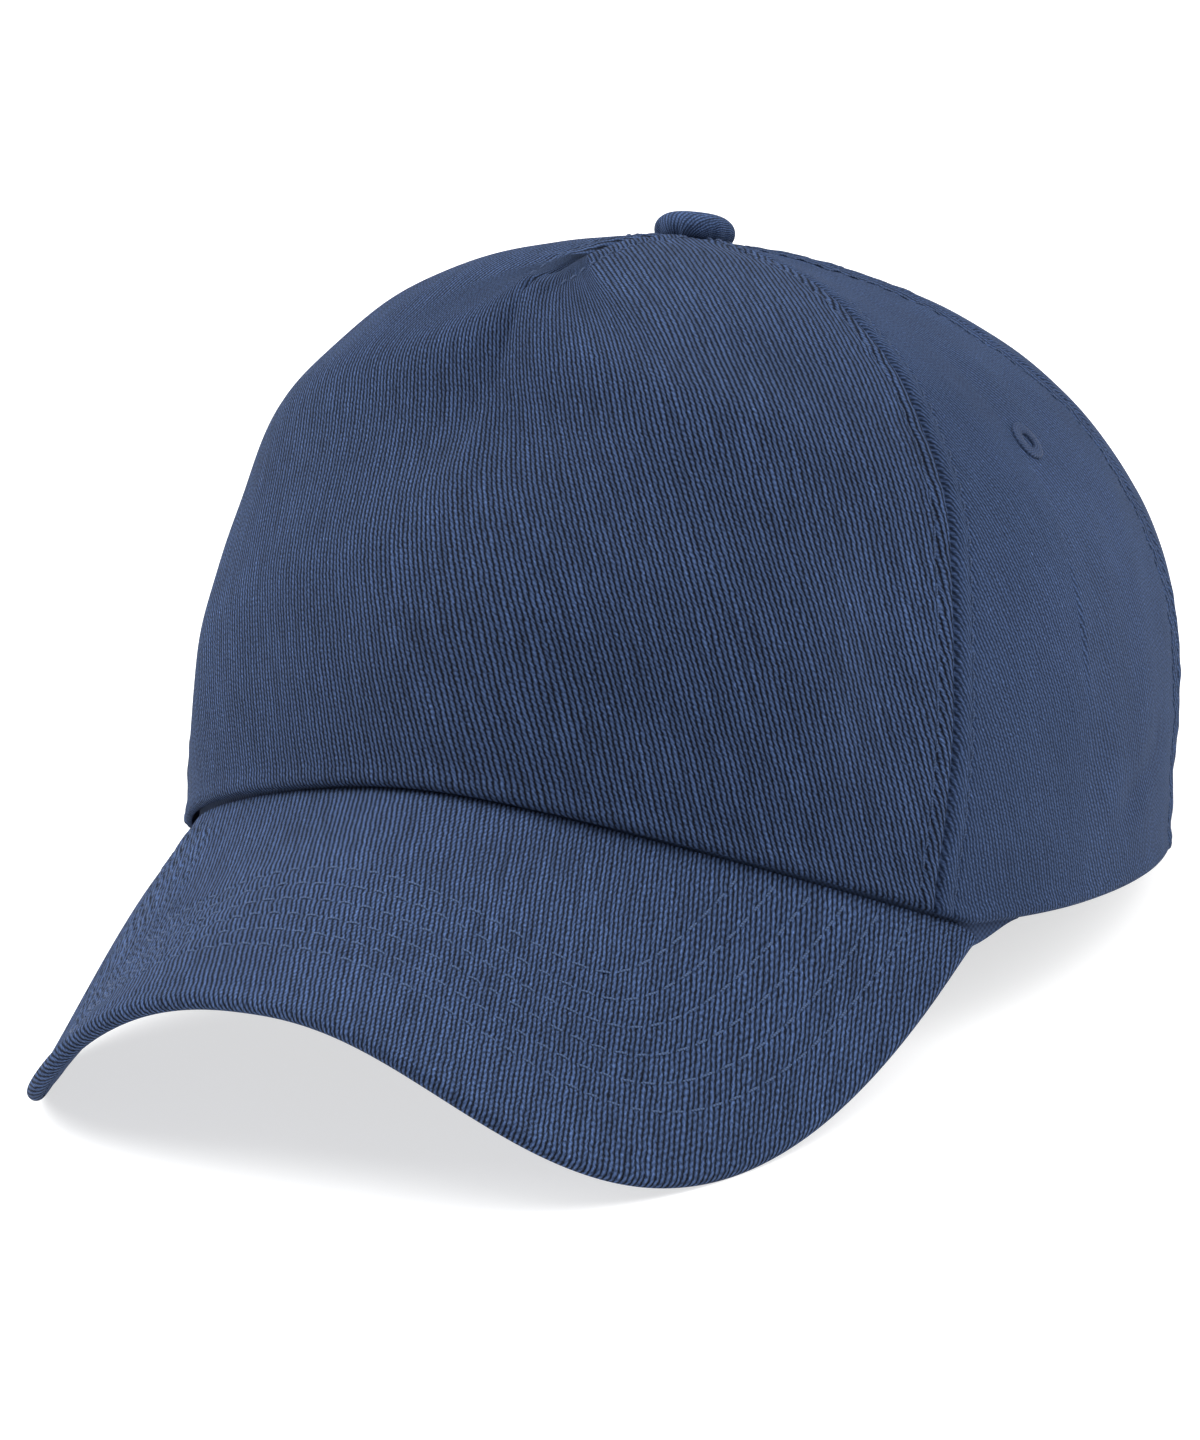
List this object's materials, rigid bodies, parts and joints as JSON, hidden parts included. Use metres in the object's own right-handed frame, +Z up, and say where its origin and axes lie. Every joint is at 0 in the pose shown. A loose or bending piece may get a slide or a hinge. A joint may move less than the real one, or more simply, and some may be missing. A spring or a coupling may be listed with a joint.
{
  "type": "baseball cap",
  "caption": "Soft five-panel cotton twill cap with a curved, stitched visor, covered top button, air holes, inner sweatband and a hook-and-loop strap over a half-moon opening at the back.",
  "frame": {"origin": "on the table under the middle of the cap, which rests on its visor's two low corners and the back of its rim", "axes": "+Z up from the table, -Y towards the visor, +X to the wearer's left"},
  "size_m": [0.176, 0.2692, 0.1356],
  "materials": {
    "crown_twill": "matte cotton drill twill, denim navy",
    "visor_twill": "matte cotton drill twill, denim navy",
    "strap_twill": "matte cotton drill twill, denim navy",
    "button_twill": "matte cotton drill twill, gathered",
    "sweatband_cotton": "matte soft cotton",
    "seam_tape": "matte plain-weave tape",
    "thread": "satin embroidery thread",
    "loop_pile": "soft looped pile",
    "hook_tape": "moulded nylon hooks",
    "board": "plain sheet",
    "button_metal": "satin pressed metal"
  },
  "bodies": {
    "cap": {"front_panel": "crown_twill", "side_panel_left": "crown_twill", "side_panel_right": "crown_twill", "back_panel_left": "crown_twill", "back_panel_right": "crown_twill", "eyelet_side_left": "thread", "eyelet_side_right": "thread", "eyelet_back_left": "thread", "eyelet_back_right": "thread", "seam_tape_front_left": "seam_tape", "seam_tape_front_right": "seam_tape", "seam_tape_rear_left": "seam_tape", "seam_tape_rear_right": "seam_tape", "seam_tape_back": "seam_tape", "dart_tape": "seam_tape", "opening_binding": "seam_tape", "visor_top_cover": "visor_twill", "visor_under_cover": "visor_twill", "visor_board": "board", "sweatband": "sweatband_cotton", "button_cover": "button_twill", "button_rivet": "button_metal", "button_washer": "button_metal", "over_strap_root": "strap_twill", "under_strap_root": "strap_twill"},
    "upper_strap": {"over_strap": "strap_twill", "loop_patch": "loop_pile"},
    "lower_strap": {"under_strap": "strap_twill", "hook_patch": "hook_tape"}
  },
  "joints": [
    {"name": "over_strap_peel", "type": "hinge", "parent": "cap", "child": "upper_strap", "pos_m": [0.0351, 0.12022, 0.01341], "axis": [0, 0, -1], "range_deg": [0, 120]},
    {"name": "under_strap_fold", "type": "hinge", "parent": "cap", "child": "lower_strap", "pos_m": [-0.04072, 0.11119, 0.01444], "axis": [0.0181, -0.3209, -0.947], "range_deg": [0, 40]}
  ]
}
